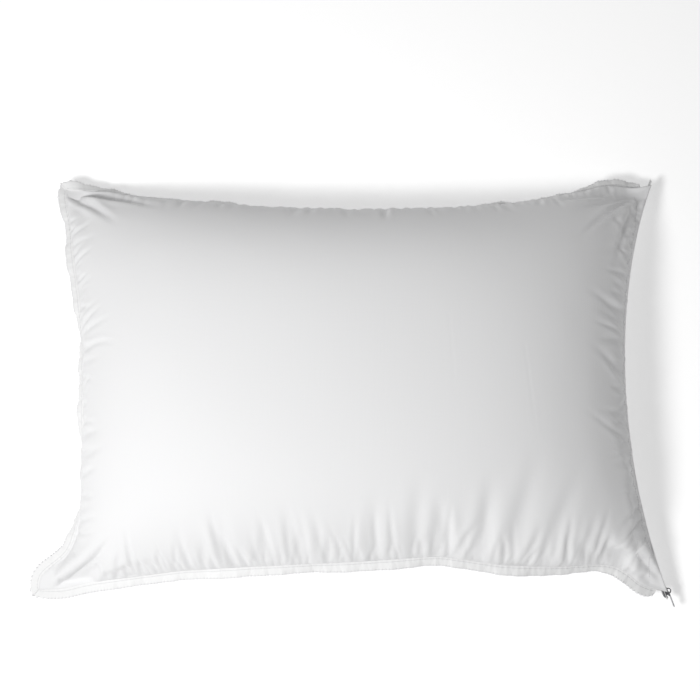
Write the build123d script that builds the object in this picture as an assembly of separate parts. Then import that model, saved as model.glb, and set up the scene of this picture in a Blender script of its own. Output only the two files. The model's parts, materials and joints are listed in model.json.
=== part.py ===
"""Bed pillow, 50 x 70 cm: a zipped cotton cover round a stuffed inner bag.

Frame: millimetres, +Z up. The pillow lies flat on its underside, its length along X and its width
along Y. The origin is the middle of the flat patch that it rests on.
The cover is two panels that meet at a seam, which the filling pulls in and lifts between the
corners. Three sides carry a sewn hem band with an overlocked edge, and the +X side carries a zip.
That side is a circular arc, so the slider turns about the arc's centre. It is closed at the -Y end.
"""

from build123d import *
import math
import os

# Seam of the cover, corner to corner, without the hem bands
HALF_LENGTH = 332.0
HALF_WIDTH = 224.0
CORNER_HEIGHT = 24.0
SEAM_RISE = 34.0  # how much higher the seam is between the corners
NEAR_BOW = 28.0  # how far the filling pulls the -Y side in, in plan
FAR_BOW = 38.0  # the same, for the +Y side
SHORT_BOW = 44.0  # the same, for the two short sides
FLARE = 1.5  # above 1, the -Y and -X sides are straighter, and flare out to their corners

# Cover
LOFT = 165.0
FABRIC = 1.0
SINK = 100.0  # how far the underside would hang below the seam if no surface held it
FLOOR_DIP = 0.4  # the underside dips this far below the resting plane, then is cut flat there
FLOOR_BLEND = 26.0  # height over which the flat underside bends into the flank
SHOULDER = 0.35  # fullness of the crown between its middle and its edge
STEEPNESS = 0.85  # 0 gives a sharp pointed flank, 1 a vertical one
FLANK_SLOPE = 4.5  # rise over run of the flank at the middle of a side

# Hem bands
HEM_WIDTH = 9.0
HEM_HALF_THICKNESS = 0.7
HEM_TUCK = 1.2  # the band's inner edge lies this far inside the seam
HEM_CLEARANCE = 0.15
HEM_ZIP_END = 0.965  # share of the long side where a band stops, short of the zip
MITRE_START = 0.94
MITRE_REACH = 1.25
EDGE_THREAD = 1.2

# Inner bag and filling
BAG_INSET = 14.0
BAG_TOP_GAP = 4.0
BAG_FLOOR = 2.4
BAG_SEAM_WIDTH = 4.0
BAG_SEAM_HALF = 0.4
BAG_SEAM_END = 0.95  # share of a side where its seam allowance ends, short of the corner
FILL_INSET = 20.0
FILL_TOP_GAP = 8.0
FILL_FLOOR = 10.0
FILL_END = 246.0

# Zip, in its own directions: a is across the tape, b is out of the pillow, c is along the zip
# A distance past the corner is measured along the zip's arc
ZIP_CLEARANCE = 4.9  # half of the opening between the two panel edges
SLIT_START = 0.86
TAPE_WIDTH = 8.6
TAPE_OUT = -2.6
TAPE_THICKNESS = 0.6
SPLIT = 0.35  # half of the gap between the two halves of the zip
COIL_WIDTH = 1.8
COIL_HEIGHT = 1.9
TAPE_PAST_CORNER = 6.5
TAPE_NARROWS = 66.0  # this far before the corner the tape is turned under to a narrower strip
TAPE_NARROW_WIDTH = 3.8
COIL_PAST_CLOSED_END = 4.2
COIL_PAST_OPEN_END = 0.4
STOP_GAP = 0.3
TOP_STOP_LENGTH = 1.5
BOTTOM_STOP_LENGTH = 5.0
BOTTOM_STOP_HALF_WIDTH = 2.9  # wider than the slider's channel, so that the slider stops on it

# Slider and pull
SLIDER_BEFORE_CORNER = 0.9
SLIDER_LENGTH = 9.5
SLIDER_HALF_WIDTH = 3.9
SLIDER_TAIL_HALF_WIDTH = 3.1
SLIDER_PLATE = 0.9
SLIDER_OUT = 0.35  # underside of the outer plate
SLIDER_IN = -3.55  # top side of the inner plate
SLIDER_WEB = 0.4
FLANGE_SHORT = 1.2  # the slider's side flanges stop this far short of its tail
BAIL_INNER = 2.3
BAIL_BAND = 0.9
BAIL_WIDTH = 1.6
BAIL_LIFT = 0.7  # height of the bail's centre, and of the pull's pivot, above the outer plate
PULL_REACH = 19.0
PULL_WIDTH = 4.6
PULL_THICKNESS = 1.0

PANEL_COLUMNS = 33
PANEL_ROWS = 25
PANEL_TOLERANCE = 0.1
STRIP_POINTS = 21

MID_HEIGHT = CORNER_HEIGHT + SEAM_RISE
LONG_SAGITTA = math.hypot((NEAR_BOW + FAR_BOW) / 2, SEAM_RISE)
SHORT_SAGITTA = math.hypot(SHORT_BOW, SEAM_RISE)
TOP_RISE = LOFT - MID_HEIGHT

# The zip's arc lies in a plane that leans outwards and down from the middle of the +X side
ZIP_RADIUS = (HALF_WIDTH**2 + SHORT_SAGITTA**2) / (2 * SHORT_SAGITTA)
ZIP_LEAN = math.atan2(SEAM_RISE, SHORT_BOW)
ZIP_MID = Vector(HALF_LENGTH - SHORT_BOW, 0, MID_HEIGHT)
ZIP_CENTRE = ZIP_MID + ZIP_RADIUS * Vector(math.cos(ZIP_LEAN), 0, -math.sin(ZIP_LEAN))
ZIP_CORNER_DEG = math.degrees(math.asin(HALF_WIDTH / ZIP_RADIUS))
# Positive turns about this axis carry the slider from the -Y corner towards +Y
ZIP_AXIS = Axis(ZIP_CENTRE, Vector(-math.sin(ZIP_LEAN), 0, -math.cos(ZIP_LEAN)))
ZIP_PLANE = Plane(origin=ZIP_MID, x_dir=(0, 0, 1), z_dir=(0, 1, 0))


def smoothstep(value, low, high):
    share = min(max((value - low) / (high - low), 0.0), 1.0)
    return share * share * (3 - 2 * share)


def bow(t, half_chord, sagitta):
    """Share of the full bow of an arc, from 1 at its middle (t = 0) to 0 at its ends (t = 1)."""
    radius = (half_chord**2 + sagitta**2) / (2 * sagitta)
    return 1 - (radius - math.sqrt(radius**2 - (t * half_chord) ** 2)) / sagitta


def flared(share):
    """The share of a bow that has a straighter middle and turns out more at its ends."""
    return 1 - max(1 - share, 0.0) ** FLARE


def spread(s):
    """Even steps of s become steps that close up towards the seam."""
    return (1 - STEEPNESS) * s + STEEPNESS * math.sin(math.pi * s / 2)


def swell(s):
    """Height share of the crown, 1 in the middle and 0 at the seam."""
    return math.cos(math.pi * s / 2) * (1 + SHOULDER * math.sin(math.pi * s / 2) ** 2)


def seam_sheet(u, v, inset=0.0):
    """Point of the sheet that spans the seam. u and v run from -1 to 1 along X and Y."""
    bow_u = bow(u, HALF_LENGTH, LONG_SAGITTA)
    bow_v = bow(v, HALF_WIDTH, SHORT_SAGITTA)
    short_pull = SHORT_BOW * (bow_v + (flared(bow_v) - bow_v) * (1 - u) / 2)
    long_pull = NEAR_BOW * flared(bow_u) * (1 - v) / 2 + FAR_BOW * bow_u * (1 + v) / 2
    return Vector(
        u * (HALF_LENGTH - inset - short_pull),
        v * (HALF_WIDTH - inset - long_pull),
        MID_HEIGHT - SEAM_RISE * (1 - bow_u) * (1 - bow_v),
    )


def hem_gap(s, t):
    """Half of the gap between the panels' edges, wide enough for a hem band and the fabric's edge."""
    flank = FLANK_SLOPE * max(abs(swell(s)), abs(swell(t)))
    return FABRIC / math.sqrt(1 + flank**2)


def edge_gap(s, t, with_zip):
    """Lift of a panel above the seam sheet: a hem band's half thickness, or the zip's opening."""
    plain = HEM_HALF_THICKNESS + HEM_CLEARANCE
    if not with_zip:
        return plain + hem_gap(s, t)
    share = smoothstep(spread(s), SLIT_START, 1.0)
    return plain + (ZIP_CLEARANCE - plain) * share + hem_gap(s, t)


def top_point(s, t, inset=0.0, drop=0.0, with_zip=True):
    base = seam_sheet(spread(s), spread(t), inset)
    rise = (TOP_RISE - drop) * swell(s) * swell(t)
    return base + Vector(0, 0, rise + edge_gap(s, t, with_zip))


def bottom_point(s, t, inset=0.0, floor=-FLOOR_DIP, with_zip=True):
    base = seam_sheet(spread(s), spread(t), inset)
    above = base.Z - SINK * swell(s) * swell(t) - edge_gap(s, t, with_zip) - floor
    bend = max(FLOOR_BLEND - abs(above), 0.0) ** 2 / (4 * FLOOR_BLEND)
    return Vector(base.X, base.Y, floor + max(above, 0.0) + bend)


def steps(count):
    """count values from -1 to 1."""
    return [2 * i / (count - 1) - 1 for i in range(count)]


def closed_layer(outer_rows, inner_rows, tolerance):
    """A solid between two sheets of points, closed by straight walls round their borders."""
    along = outer_rows[0][1] - outer_rows[0][0]
    across = outer_rows[1][0] - outer_rows[0][0]
    if along.cross(across).dot(outer_rows[0][0] - inner_rows[0][0]) < 0:
        outer_rows = [row[::-1] for row in outer_rows]
        inner_rows = [row[::-1] for row in inner_rows]
    outer = Face.make_surface_from_array_of_points(outer_rows, tol=tolerance)
    inner = Face.make_surface_from_array_of_points(inner_rows, tol=tolerance)
    walls = []
    for border in outer.edges():
        partner = inner.edges().sort_by_distance(border.position_at(0.5))[0]
        walls.append(Face.make_surface_from_curves(border, partner))
    return Solid(Shell([outer, inner] + walls))


def panel(point, side, **layer):
    """A layer of fabric whose outer face is point()'s surface. side is 1 above, -1 below."""
    step = 1e-3
    outer_rows = []
    inner_rows = []
    for t in steps(PANEL_ROWS):
        outer_row = [point(s, t, **layer) for s in steps(PANEL_COLUMNS)]
        inner_row = []
        for s, outside in zip(steps(PANEL_COLUMNS), outer_row):
            along = point(s + step, t, **layer) - point(s - step, t, **layer)
            across = point(s, t + step, **layer) - point(s, t - step, **layer)
            inner_row.append(outside - along.cross(across).normalized() * FABRIC * side)
        outer_rows.append(outer_row)
        inner_rows.append(inner_row)
    return closed_layer(outer_rows, inner_rows, PANEL_TOLERANCE)


def side_point(side, t, inset=0.0):
    if side in ("near", "far"):
        return seam_sheet(t, -1 if side == "near" else 1, inset)
    return seam_sheet(-1 if side == "left" else 1, t, inset)


def outward(side, t, mitred):
    """Direction in plan that points away from the pillow, leaning to the corner's diagonal."""
    ahead = side_point(side, t + 1e-3) - side_point(side, t - 1e-3)
    normal = Vector(ahead.Y, -ahead.X, 0).normalized()
    if side in ("far", "left"):
        normal = normal * -1
    corner = side_point(side, math.copysign(1, t))
    diagonal = Vector(math.copysign(1, corner.X), math.copysign(1, corner.Y), 0).normalized()
    lean = smoothstep(abs(t), MITRE_START, 1.0) if mitred(t) else 0.0
    direction = (normal * (1 - lean) + diagonal * lean).normalized()
    return direction * (1 + (MITRE_REACH - 1) * lean)


def strip(side, inner, outer, half_thickness, first=-1.0, last=1.0, inset=0.0, mitred=lambda t: True):
    """A flat band along one side of a seam, from inner to outer millimetres outside it."""
    spots = [first + (last - first) * (step + 1) / 2 for step in steps(STRIP_POINTS)]
    faces = []
    for lift in (half_thickness, -half_thickness):
        rows = []
        for reach in (inner, (inner + outer) / 2, outer):
            edge = [side_point(side, t, inset) + outward(side, t, mitred) * reach for t in spots]
            rows.append([spot + Vector(0, 0, lift) for spot in edge])
        faces.append(rows)
    return closed_layer(faces[0], faces[1], 0.01)


def hem_parts():
    """Band and overlocked edge thread of the three sides with no zip."""
    parts = {}
    touch = 0.9995  # neighbours meet at the corner's diagonal without crossing it
    spans = {"near": (-touch, HEM_ZIP_END), "far": (-touch, HEM_ZIP_END), "left": (-touch, touch)}
    for side, (first, last) in spans.items():
        run = dict(first=first, last=last, mitred=lambda t, s=side: s == "left" or t < 0)
        parts[f"hem_band_{side}"] = strip(side, -HEM_TUCK, HEM_WIDTH, HEM_HALF_THICKNESS, **run)
        start = HEM_WIDTH + 0.02
        parts[f"hem_edge_thread_{side}"] = strip(side, start, start + EDGE_THREAD, EDGE_THREAD / 2, **run)
    return parts


def cover_parts():
    underside = panel(bottom_point, -1)
    above_floor = Pos(0, 0, LOFT / 2) * Box(3 * HALF_LENGTH, 3 * HALF_WIDTH, LOFT)
    return {
        "cover_top_panel": panel(top_point, 1),
        "cover_bottom_panel": underside & above_floor,
    }


def bag_parts():
    """The stuffed bag inside the cover: two panels and the seam allowance between them."""
    parts = {
        "bag_top_panel": panel(
            top_point, 1, inset=BAG_INSET, drop=BAG_TOP_GAP, with_zip=False
        ),
        "bag_bottom_panel": panel(
            bottom_point, -1, inset=BAG_INSET, floor=BAG_FLOOR, with_zip=False
        ),
    }
    for side in ("near", "far", "left", "right"):
        run = dict(first=-BAG_SEAM_END, last=BAG_SEAM_END, inset=BAG_INSET, mitred=lambda t: False)
        parts[f"bag_seam_{side}"] = strip(side, -HEM_TUCK, BAG_SEAM_WIDTH, BAG_SEAM_HALF, **run)
    return parts


def fill_section(s):
    """One upright slice of the filling, a closed smooth outline."""
    inset = BAG_INSET + FILL_INSET
    x = FILL_END * spread(s) / spread(1)
    ring = [top_point(s, t, inset, BAG_TOP_GAP + FILL_TOP_GAP, False) for t in steps(13)]
    ring += [bottom_point(s, t, inset, FILL_FLOOR, False) for t in reversed(steps(13)[1:-1])]
    outline = Spline([Vector(x, p.Y, p.Z) for p in ring], periodic=True)
    return Wire([outline])


def fill_core():
    ends = 0.93
    return Solid.make_loft([fill_section(ends * s) for s in steps(9)])


def zip_turn(past_corner):
    """Degrees from the middle of the zip to a place that far past the +Y corner."""
    return ZIP_CORNER_DEG + math.degrees(past_corner / ZIP_RADIUS)


def across_zip(shape, start_deg, end_deg):
    """Sweeps a profile, drawn across the middle of the zip, along the zip's arc."""
    first = shape.rotate(ZIP_AXIS, start_deg)
    return revolve(first, ZIP_AXIS, end_deg - start_deg)


def zip_profile(a_low, a_high, b_low, b_high):
    centre = Pos((a_low + a_high) / 2, (b_low + b_high) / 2)
    return ZIP_PLANE * centre * Rectangle(a_high - a_low, b_high - b_low)


def zip_box(a, b, c):
    """A box in the zip's directions; a, b and c are pairs of low and high."""
    low = Vector(a[0], b[0], c[0])
    high = Vector(a[1], b[1], c[1])
    return Pos((low + high) / 2) * Box(*(high - low))


def zip_parts():
    parts = {}
    coil_low = TAPE_OUT + 0.02
    for name, sign in (("upper", 1), ("lower", -1)):
        coil = sorted((sign * SPLIT, sign * (SPLIT + COIL_WIDTH)))
        runs = ((TAPE_WIDTH, zip_turn(-TAPE_NARROWS)), (TAPE_NARROW_WIDTH, zip_turn(TAPE_PAST_CORNER)))
        wide, narrow = (
            across_zip(
                zip_profile(*sorted((sign * SPLIT, sign * width)), TAPE_OUT - TAPE_THICKNESS, TAPE_OUT),
                -end,
                end,
            )
            for width, end in runs
        )
        parts[f"zip_tape_{name}"] = wide + narrow
        coil_profile = zip_profile(*coil, coil_low, coil_low + COIL_HEIGHT)
        coil_start = -zip_turn(COIL_PAST_CLOSED_END)
        parts[f"zip_coil_{name}"] = across_zip(coil_profile, coil_start, zip_turn(COIL_PAST_OPEN_END))
        stop_from = -zip_turn(COIL_PAST_CLOSED_END + STOP_GAP + TOP_STOP_LENGTH)
        stop_to = -zip_turn(COIL_PAST_CLOSED_END + STOP_GAP)
        parts[f"zip_top_stop_{name}"] = across_zip(coil_profile, stop_from, stop_to)
    stop_from = zip_turn(COIL_PAST_OPEN_END + STOP_GAP)
    stop_to = zip_turn(COIL_PAST_OPEN_END + STOP_GAP + BOTTOM_STOP_LENGTH)
    stop_profile = zip_profile(
        -BOTTOM_STOP_HALF_WIDTH, BOTTOM_STOP_HALF_WIDTH, coil_low, coil_low + COIL_HEIGHT
    )
    parts["zip_bottom_stop"] = across_zip(stop_profile, stop_from, stop_to)
    return parts


def place_slider(local):
    """Moves a shape drawn in the zip's directions to the slider's place when the zip is closed."""
    return (ZIP_PLANE * local).rotate(ZIP_AXIS, -zip_turn(-SLIDER_BEFORE_CORNER))


def slider_plate(b_low):
    """Shield-shaped plate, wide at the end that leads when the zip closes."""
    half = SLIDER_LENGTH / 2
    outline = Polyline(
        (-SLIDER_HALF_WIDTH, -half),
        (SLIDER_HALF_WIDTH, -half),
        (SLIDER_HALF_WIDTH, -half / 4),
        (SLIDER_TAIL_HALF_WIDTH, half),
        (-SLIDER_TAIL_HALF_WIDTH, half),
        (-SLIDER_HALF_WIDTH, -half / 4),
        close=True,
    )
    flat = fillet(make_face(outline).vertices(), 1.2)
    across = Plane(origin=(0, b_low, 0), x_dir=(1, 0, 0), z_dir=(0, -1, 0))
    return extrude(across * flat, -SLIDER_PLATE)


def slider_body():
    half = SLIDER_LENGTH / 2
    plate_in = SLIDER_IN - SLIDER_PLATE
    body = slider_plate(SLIDER_OUT) + slider_plate(plate_in)
    flange_root = SLIDER_OUT + SLIDER_PLATE / 2
    for a in ((-SLIDER_TAIL_HALF_WIDTH, -2.5), (2.5, SLIDER_TAIL_HALF_WIDTH)):
        body += zip_box(a, (TAPE_OUT + 0.3, flange_root), (-half / 2, half - FLANGE_SHORT))
    web = (-SLIDER_WEB / 2, SLIDER_WEB / 2)
    body += zip_box(web, (SLIDER_IN - SLIDER_PLATE / 2, flange_root), (-half + 0.8, -half + 3.6))
    return place_slider(body)


PIVOT_OUT = SLIDER_OUT + SLIDER_PLATE + BAIL_LIFT


def slider_bail():
    """Half-round arch on the slider's outer plate. The pull's eye slides round it."""
    side_on = Plane(origin=(-BAIL_WIDTH / 2, PIVOT_OUT, 0), x_dir=(0, 0, 1), z_dir=(1, 0, 0))
    outer = BAIL_INNER + BAIL_BAND
    half_ring = Circle(outer) - Circle(BAIL_INNER)
    half_ring &= Pos(0, -outer / 2) * Rectangle(3 * outer, outer)
    leg_length = BAIL_LIFT - 0.01
    for side in (-1, 1):
        middle = side * (BAIL_INNER + BAIL_BAND / 2)
        half_ring += Pos(middle, leg_length / 2) * Rectangle(BAIL_BAND, leg_length)
    return place_slider(extrude(side_on * half_ring, BAIL_WIDTH))


def pull_tab():
    """Flat pull with a long eye round the bail and a small hole near its tip."""
    near_end = 0.7
    length = PULL_REACH - near_end
    plate = SlotOverall(length, PULL_WIDTH, rotation=90)
    plate = Pos(0, -(near_end + PULL_REACH) / 2) * plate
    plate += Pos(0, -(near_end + PULL_WIDTH / 2) / 2) * Rectangle(PULL_WIDTH - 1, PULL_WIDTH / 2 - near_end)
    eye_start = BAIL_INNER - 0.4
    eye_length = 4.4
    plate -= Pos(0, -eye_start - eye_length / 2) * SlotOverall(eye_length, BAIL_WIDTH + 0.8, rotation=90)
    plate -= Pos(0, -PULL_REACH + 2.4) * Circle(0.9)
    flat = Plane(origin=(0, PIVOT_OUT - PULL_THICKNESS / 2, 0), x_dir=(1, 0, 0), z_dir=(0, -1, 0))
    return place_slider(extrude(flat * plate, -PULL_THICKNESS))


def joint_frame():
    """The slider's axis of travel and the pull's pivot axis, for the record."""
    pivot, beside = (
        place_slider(Sphere(1).moved(Pos(a, PIVOT_OUT, 0))).center() for a in (0, 100)
    )
    return ZIP_AXIS, Axis(pivot, beside - pivot)


def main():
    os.makedirs("parts", exist_ok=True)
    parts = {**cover_parts(), **hem_parts(), **bag_parts(), "fill_core": fill_core(), **zip_parts()}
    parts.update(slider_body=slider_body(), slider_bail=slider_bail(), pull_tab=pull_tab())
    for name, shape in parts.items():
        export_step(shape, f"parts/{name}.step")
    last_place = zip_turn(COIL_PAST_OPEN_END + STOP_GAP - SLIDER_LENGTH / 2 + FLANGE_SHORT)
    print("slider travel, degrees:", last_place + zip_turn(-SLIDER_BEFORE_CORNER))
    for axis in joint_frame():
        print("joint position:", *axis.position)
        print("joint direction:", *axis.direction)


main()
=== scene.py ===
"""Looks of the bed pillow: a stuffed cotton cover with a stitched hem and a coil zip.

The cover's panels start as the smooth form that the CAD solids have. Folds and gathers are laid on
that form along short curves, then a small cloth solver with cloth to spare along the seams lets
each panel settle on its filling. Hems, stitches and threads follow the same seams.
Everything is in metres, in the CAD's frame.
"""

import json
import math

import bpy
import numpy as np
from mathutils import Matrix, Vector
from mathutils.bvhtree import BVHTree


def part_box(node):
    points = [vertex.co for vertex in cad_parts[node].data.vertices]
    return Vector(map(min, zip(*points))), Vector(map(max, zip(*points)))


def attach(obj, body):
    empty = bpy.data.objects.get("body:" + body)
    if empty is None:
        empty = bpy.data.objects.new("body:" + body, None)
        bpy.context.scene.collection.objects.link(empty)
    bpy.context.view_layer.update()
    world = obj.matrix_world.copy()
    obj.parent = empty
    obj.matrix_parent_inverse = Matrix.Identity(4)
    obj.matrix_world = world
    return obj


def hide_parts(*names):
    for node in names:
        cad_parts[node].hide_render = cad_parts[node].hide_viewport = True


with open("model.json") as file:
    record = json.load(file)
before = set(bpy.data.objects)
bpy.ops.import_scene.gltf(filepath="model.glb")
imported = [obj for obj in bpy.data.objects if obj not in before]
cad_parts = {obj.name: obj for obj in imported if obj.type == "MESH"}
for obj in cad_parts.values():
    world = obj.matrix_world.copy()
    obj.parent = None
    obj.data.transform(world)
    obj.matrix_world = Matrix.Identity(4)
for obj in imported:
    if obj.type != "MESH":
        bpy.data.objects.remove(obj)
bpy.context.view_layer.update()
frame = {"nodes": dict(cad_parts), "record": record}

# ---------------------------------------------------------------- the form that the CAD solids have

SEAM_RISE = 0.034
NEAR_BOW = 0.028
FAR_BOW = 0.038
SHORT_BOW = 0.044
FLARE = 1.5
CORNER_HEIGHT = 0.024
FLOOR_BLEND = 0.026
SINK = 0.100
SHOULDER = 0.35
STEEPNESS = 0.85
ZIP_CLEARANCE = 0.0055
SLIT_START = 0.86
BAG_INSET = 0.014
FILL_INSET = 0.030

_, top_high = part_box("cover_top_panel")
HALF_LENGTH = top_high.x
HALF_WIDTH = top_high.y
LOFT = top_high.z
MID_HEIGHT = CORNER_HEIGHT + SEAM_RISE
TOP_RISE = LOFT - MID_HEIGHT
LONG_SAGITTA = math.hypot((NEAR_BOW + FAR_BOW) / 2, SEAM_RISE)
SHORT_SAGITTA = math.hypot(SHORT_BOW, SEAM_RISE)

HEM_WIDTH = 0.0100
HEM_HALF = 0.0007
HEM_TUCK = 0.0012
HEM_ZIP_END = 0.965
CLOTH = 0.0005

zip_joint = frame["record"]["behaviour"]["joints"][0]
ZIP_MID = np.array([HALF_LENGTH - SHORT_BOW, 0.0, MID_HEIGHT])
ZIP_RADIUS = (HALF_WIDTH**2 + SHORT_SAGITTA**2) / (2 * SHORT_SAGITTA)
ZIP_HALF_LENGTH = ZIP_RADIUS * math.asin(HALF_WIDTH / ZIP_RADIUS)
UP = np.array([0.0, 0.0, 1.0])
OUT = np.array([1.0, 0.0, 0.0])

# Seeds of everything random. A side's number is added to the first four, and 1 to BAG_SEED on top
GATHER_SEED = 11
FINE_GATHER_SEED = 21
BOTTOM_GATHER_SEED = 31
RUFFLE_SEED = 40
CROWN_SEED = 5
CRINKLE_SEED = 6
BAG_SEED = 61
FILL_TOP_SEED = 71
FILL_BOTTOM_SEED = 72


def smoothstep(value, low, high):
    share = np.clip((value - low) / (high - low), 0.0, 1.0)
    return share * share * (3 - 2 * share)


def arc_radius(half_chord, sagitta):
    return (half_chord**2 + sagitta**2) / (2 * sagitta)


def bow(t, half_chord, sagitta):
    """Share of an arc's full bow, 1 at its middle (t = 0) and 0 at its ends (t = 1)."""
    radius = arc_radius(half_chord, sagitta)
    return 1 - (radius - np.sqrt(radius**2 - (t * half_chord) ** 2)) / sagitta


def flared(share):
    """The share of a bow that has a straighter middle and turns out more at its ends."""
    return 1 - np.maximum(1 - share, 0.0) ** FLARE


def even_on_arc(t, half_chord, sagitta):
    """Equal steps of t become equal steps of length along the arc."""
    end = math.asin(half_chord / arc_radius(half_chord, sagitta))
    return np.sin(t * end) / math.sin(end)


def spread(s):
    return (1 - STEEPNESS) * s + STEEPNESS * np.sin(np.pi * s / 2)


def swell(s):
    return np.cos(np.pi * s / 2) * (1 + SHOULDER * np.sin(np.pi * s / 2) ** 2)


def seam_sheet(u, v, inset=0.0):
    """Points of the sheet that spans the seam; u and v run from -1 to 1 along X and Y."""
    bow_u = bow(u, HALF_LENGTH, LONG_SAGITTA)
    bow_v = bow(v, HALF_WIDTH, SHORT_SAGITTA)
    short_pull = SHORT_BOW * (bow_v + (flared(bow_v) - bow_v) * (1 - u) / 2)
    long_pull = NEAR_BOW * flared(bow_u) * (1 - v) / 2 + FAR_BOW * bow_u * (1 + v) / 2
    x = u * (HALF_LENGTH - inset - short_pull)
    y = v * (HALF_WIDTH - inset - long_pull)
    z = MID_HEIGHT - SEAM_RISE * (1 - bow_u) * (1 - bow_v)
    return np.stack([x, y, z], -1)


def even_grid(columns, rows):
    """s and t of a panel's grid, and the seam sheet's u and v, evenly spaced along the seams."""
    s, t = np.meshgrid(np.linspace(-1, 1, columns), np.linspace(-1, 1, rows))
    near_long_side = np.abs(t) ** 6
    near_short_side = np.abs(s) ** 6
    u = spread(s) * (1 - near_long_side) + even_on_arc(s, HALF_LENGTH, LONG_SAGITTA) * near_long_side
    v = spread(t) * (1 - near_short_side) + even_on_arc(t, HALF_WIDTH, SHORT_SAGITTA) * near_short_side
    return s, t, u, v


def edge_lift(u):
    """How far a panel's edge stands off the seam sheet: on the hem band, or beside the zip."""
    return HEM_HALF + (ZIP_CLEARANCE - HEM_HALF) * smoothstep(u, SLIT_START, 1.0)


def smooth_top(columns, rows, inset=0.0, drop=0.0):
    s, t, u, v = even_grid(columns, rows)
    points = seam_sheet(u, v, inset)
    lift = edge_lift(u) if inset == 0 else CLOTH
    points[..., 2] += (TOP_RISE - drop) * swell(s) * swell(t) + lift * (1 - swell(s) * swell(t))
    return points


def smooth_bottom(columns, rows, inset=0.0, floor=0.0):
    s, t, u, v = even_grid(columns, rows)
    points = seam_sheet(u, v, inset)
    lift = edge_lift(u) if inset == 0 else CLOTH
    above = points[..., 2] - SINK * swell(s) * swell(t) - lift - floor
    bend = np.maximum(FLOOR_BLEND - np.abs(above), 0.0) ** 2 / (4 * FLOOR_BLEND)
    points[..., 2] = floor + np.maximum(above, 0.0) + bend
    return points


# ---------------------------------------------------------------- seams

SIDES = ("near", "far", "left", "right")


def unit(vectors):
    return vectors / np.maximum(np.linalg.norm(vectors, axis=-1, keepdims=True), 1e-12)


def side_points(side, t, inset=0.0):
    if side in ("near", "far"):
        return seam_sheet(t, np.full_like(t, -1.0 if side == "near" else 1.0), inset)
    return seam_sheet(np.full_like(t, -1.0 if side == "left" else 1.0), t, inset)


# Where the stuffing leaves each seam in plan: the square ears at the corners, and the uneven waist
# between them. The zip's side keeps its arc.
LEFT_SEAM = (  # y, x
    (-0.224, -0.336),
    (-0.208, -0.335),
    (-0.199, -0.328),
    (-0.192, -0.314),
    (-0.181, -0.303),
    (-0.160, -0.295),
    (-0.128, -0.290),
    (-0.054, -0.288),
    (0.032, -0.291),
    (0.088, -0.298),
    (0.130, -0.306),
    (0.170, -0.313),
    (0.206, -0.321),
    (0.224, -0.323),
)
NEAR_SEAM = (  # x, y
    (-0.334, -0.221),
    (-0.300, -0.221),
    (-0.280, -0.215),
    (-0.247, -0.210),
    (-0.183, -0.202),
    (-0.110, -0.198),
    (0.000, -0.193),
    (0.088, -0.187),
    (0.104, -0.189),
    (0.152, -0.196),
    (0.204, -0.198),
    (0.250, -0.196),
    (0.268, -0.195),
    (0.284, -0.200),
    (0.302, -0.214),
    (0.332, -0.224),
)
FAR_SEAM = (  # x, y
    (-0.334, 0.220),
    (-0.300, 0.217),
    (-0.261, 0.211),
    (-0.192, 0.201),
    (-0.100, 0.190),
    (0.000, 0.186),
    (0.100, 0.189),
    (0.170, 0.196),
    (0.216, 0.205),
    (0.273, 0.219),
    (0.305, 0.2235),
    (0.332, 0.224),
)
EASE = np.linspace(-0.010, 0.010, 9)
PULLED_FROM = 0.70  # share of the way to the seam where the uneven outline begins to tell


def seam_shift(side, places, along, across):
    """How far to move points across a side, so that the side's seam runs through places."""
    axis = 1 if side == "left" else 0
    line = side_points(side, np.linspace(-1, 1, 401))
    seam = np.interp(along, line[:, axis], line[:, 1 - axis])
    at, goal = np.array(places).T
    eased = sum(np.interp(along + step, at, goal) for step in EASE) / len(EASE)
    return (eased - seam) * smoothstep(across / seam, PULLED_FROM, 1.0)


def shaped(points):
    """The smooth form with the uneven outline that its stuffing gives it."""
    x, y = points[..., 0], points[..., 1]
    moved = points.copy()
    clear_of_zip = 1 - smoothstep(x, 0.290, 0.318)
    moved[..., 0] += seam_shift("left", LEFT_SEAM, y, x)
    for side, places in (("near", NEAR_SEAM), ("far", FAR_SEAM)):
        moved[..., 1] += seam_shift(side, places, x, y) * clear_of_zip
    return moved


def side_line(side, step, first=-1.0, last=1.0, inset=0.0):
    """Even steps along a seam: each one's point, outward and forward directions, and distance."""
    dense = np.linspace(first, last, 3001)
    line = shaped(side_points(side, dense, inset))
    travelled = np.concatenate([[0], np.cumsum(np.linalg.norm(np.diff(line, axis=0), axis=1))])
    where = np.linspace(0, travelled[-1], int(travelled[-1] / step) + 1)
    t = np.interp(where, travelled, dense)
    points = np.stack([np.interp(where, travelled, line[:, axis]) for axis in range(3)], -1)
    ahead = unit(np.gradient(points, axis=0))
    flat = unit(np.stack([ahead[:, 1], -ahead[:, 0], 0 * t], -1))
    if side in ("far", "left"):
        flat = -flat
    corner = unit(np.sign(points) * [1, 1, 0])
    # Hems meet in a mitre at the two -X corners; at the zip's corners they don't meet
    if side == "left":
        mitred = np.ones_like(t)
    elif side == "right":
        mitred = np.zeros_like(t)
    else:
        mitred = (t < 0) * 1.0
    lean = (smoothstep(np.abs(t), 0.955, 1.0) * mitred)[:, None]
    outward = unit(flat * (1 - lean) + corner * lean)
    return points, outward, ahead, where


def ruffle(side, where):
    """How far a hem's edge waves up and down, in metres."""
    rng = np.random.default_rng(RUFFLE_SEED + SIDES.index(side))
    height = 0 * where
    for pitch, size in ((0.150, 0.0022), (0.061, 0.0013), (0.023, 0.0006), (0.0095, 0.0003)):
        height += size * np.sin(2 * np.pi * (where / pitch + rng.uniform()) + rng.uniform())
    return height


# ---------------------------------------------------------------- folds and gathers

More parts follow.
